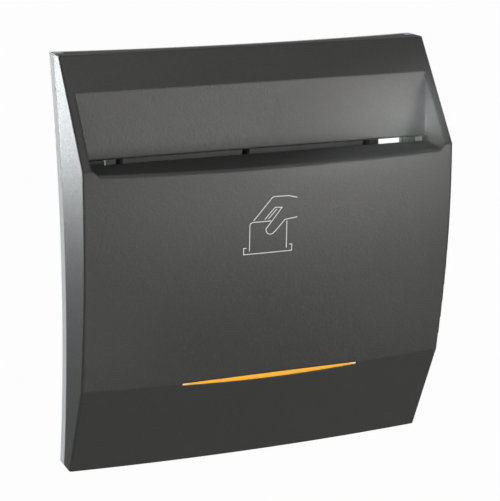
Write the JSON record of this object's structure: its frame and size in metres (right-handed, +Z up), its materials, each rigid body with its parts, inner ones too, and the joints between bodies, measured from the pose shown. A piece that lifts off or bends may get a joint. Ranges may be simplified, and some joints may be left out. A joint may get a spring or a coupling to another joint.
{
  "type": "hotel key card switch",
  "caption": "Hotel key card switch: curved square front with a card slot under a slanted recess, amber lens line, base frame and a spring-returned contact mechanism.",
  "frame": {"origin": "centre of the 44.8 mm square collar, in the plane of the base frame's four rear corners", "axes": "+X to the right seen from the front, +Y into the wall, +Z up"},
  "size_m": [0.06, 0.0397, 0.0652],
  "materials": {
    "graphite_cover": "moulded graphite plastic with fine metallic flakes, satin",
    "grey_frame": "light grey moulded plastic, satin",
    "amber_lens": "amber translucent plastic, smooth",
    "clear_guide": "clear moulded light guide, polished",
    "mechanism_grey": "mid grey moulded thermoset, matt",
    "housing_grey": "dark grey moulded thermoset, matt",
    "guide_dark": "dark grey moulded plastic, matt",
    "acetal_white": "off-white low-friction plastic, satin",
    "zinc_steel": "zinc-plated steel, bright",
    "spring_steel": "blue-grey spring steel",
    "brass": "stamped brass strip, bright",
    "silver_contact": "silver contact rivet, bright",
    "board_green": "glass-fibre circuit board with green lacquer",
    "lamp_white": "lamp chip body, smooth",
    "resistor_beige": "beige lacquered resistor",
    "tinned_copper": "tinned copper strip, bright"
  },
  "bodies": {
    "base": {"front_cover": "graphite_cover", "rear_frame": "grey_frame", "indicator_lens": "amber_lens", "light_guide": "clear_guide", "lamp_board": "board_green", "lamp": "lamp_white", "lamp_resistor": "resistor_beige", "lamp_leads": "tinned_copper", "card_guide": "guide_dark", "mechanism_lid": "mechanism_grey", "mechanism_housing": "housing_grey", "mechanism_screws": "zinc_steel", "support_clips": "spring_steel", "return_spring": "spring_steel", "rocker_pin": "zinc_steel", "fixed_contact_open": "brass", "fixed_contact_rest": "brass", "fixed_rivets": "silver_contact", "common_contact": "brass", "terminal_cages": "zinc_steel", "terminal_screws": "zinc_steel"},
    "actuator": {"actuator": "acetal_white", "actuator_peg": "zinc_steel"},
    "rocker": {"rocker": "acetal_white", "moving_contact": "brass", "moving_rivets": "silver_contact"}
  },
  "joints": [
    {"name": "actuator_slide", "type": "slide", "parent": "base", "child": "actuator", "axis": [0, 0, -1], "range_m": [0, 0.005], "stiffness_N_per_m": 180, "springref_m": -0.004, "deforming": ["return_spring"]},
    {"name": "rocker_hinge", "type": "hinge", "parent": "base", "child": "rocker", "pos_m": [0, 0.0121, 0], "axis": [1, 0, 0], "range_deg": [0, 36.9]}
  ],
  "couplings": [
    {"joint": "rocker_hinge", "follows": "actuator_slide", "rad_per_m": 128.7}
  ]
}
